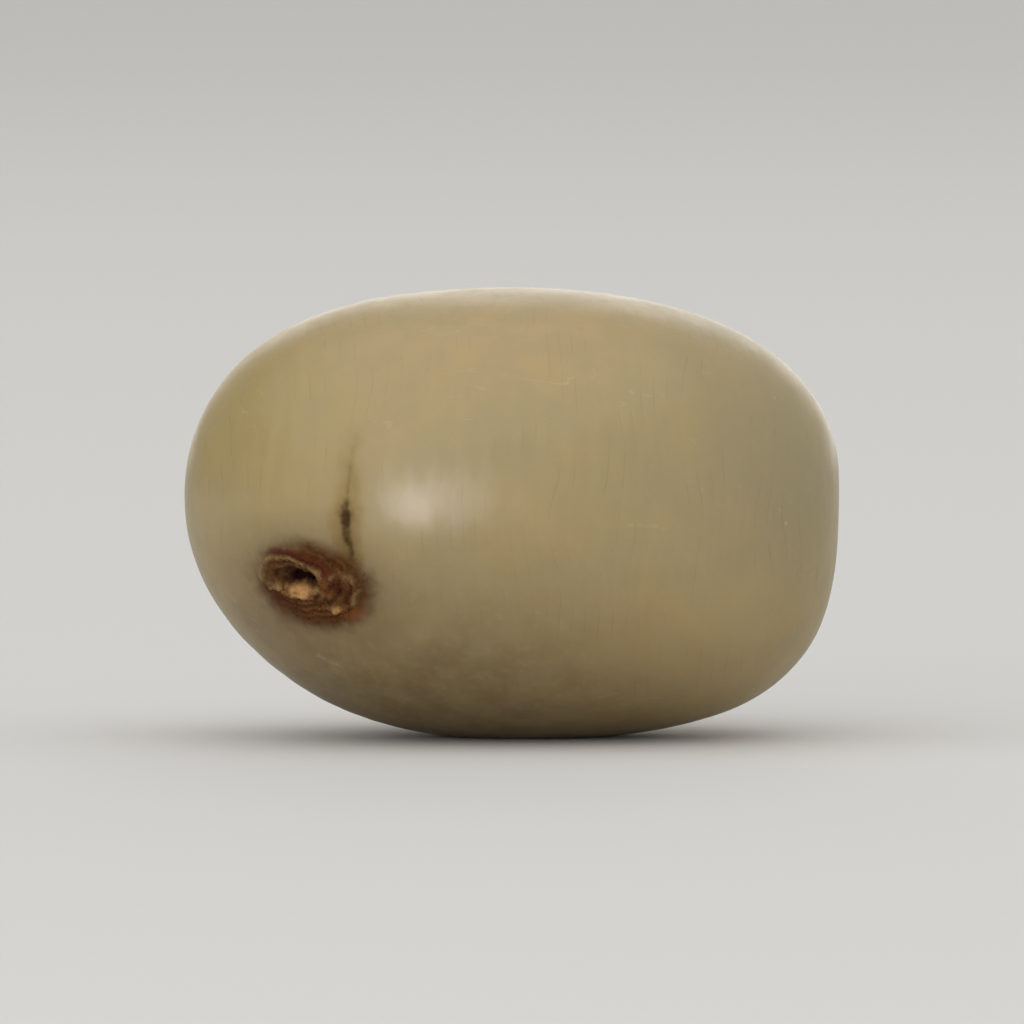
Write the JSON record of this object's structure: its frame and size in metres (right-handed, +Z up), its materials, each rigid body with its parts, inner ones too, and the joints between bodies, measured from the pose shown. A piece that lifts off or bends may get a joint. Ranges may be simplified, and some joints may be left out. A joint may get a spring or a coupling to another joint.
{
  "type": "fever nut",
  "caption": "Smooth, waxy, olive khaki seed, a blunt ovoid lying on a small flat spot, with a pitted stalk scar low on its front.",
  "frame": {"origin": "on the surface that the nut rests on, under the middle of its box", "axes": "+X along the nut, away from the scar's end; +Y from the scar's side to the back; +Z up"},
  "size_m": [0.023, 0.0186, 0.0157],
  "materials": {
    "seed_coat": "natural seed coat, smooth and waxy, half glossy, olive khaki with tan and greenish mottling and a dark red-brown stain round the scar"
  },
  "bodies": {
    "root": {"fever_nut": "seed_coat"}
  },
  "joints": []
}
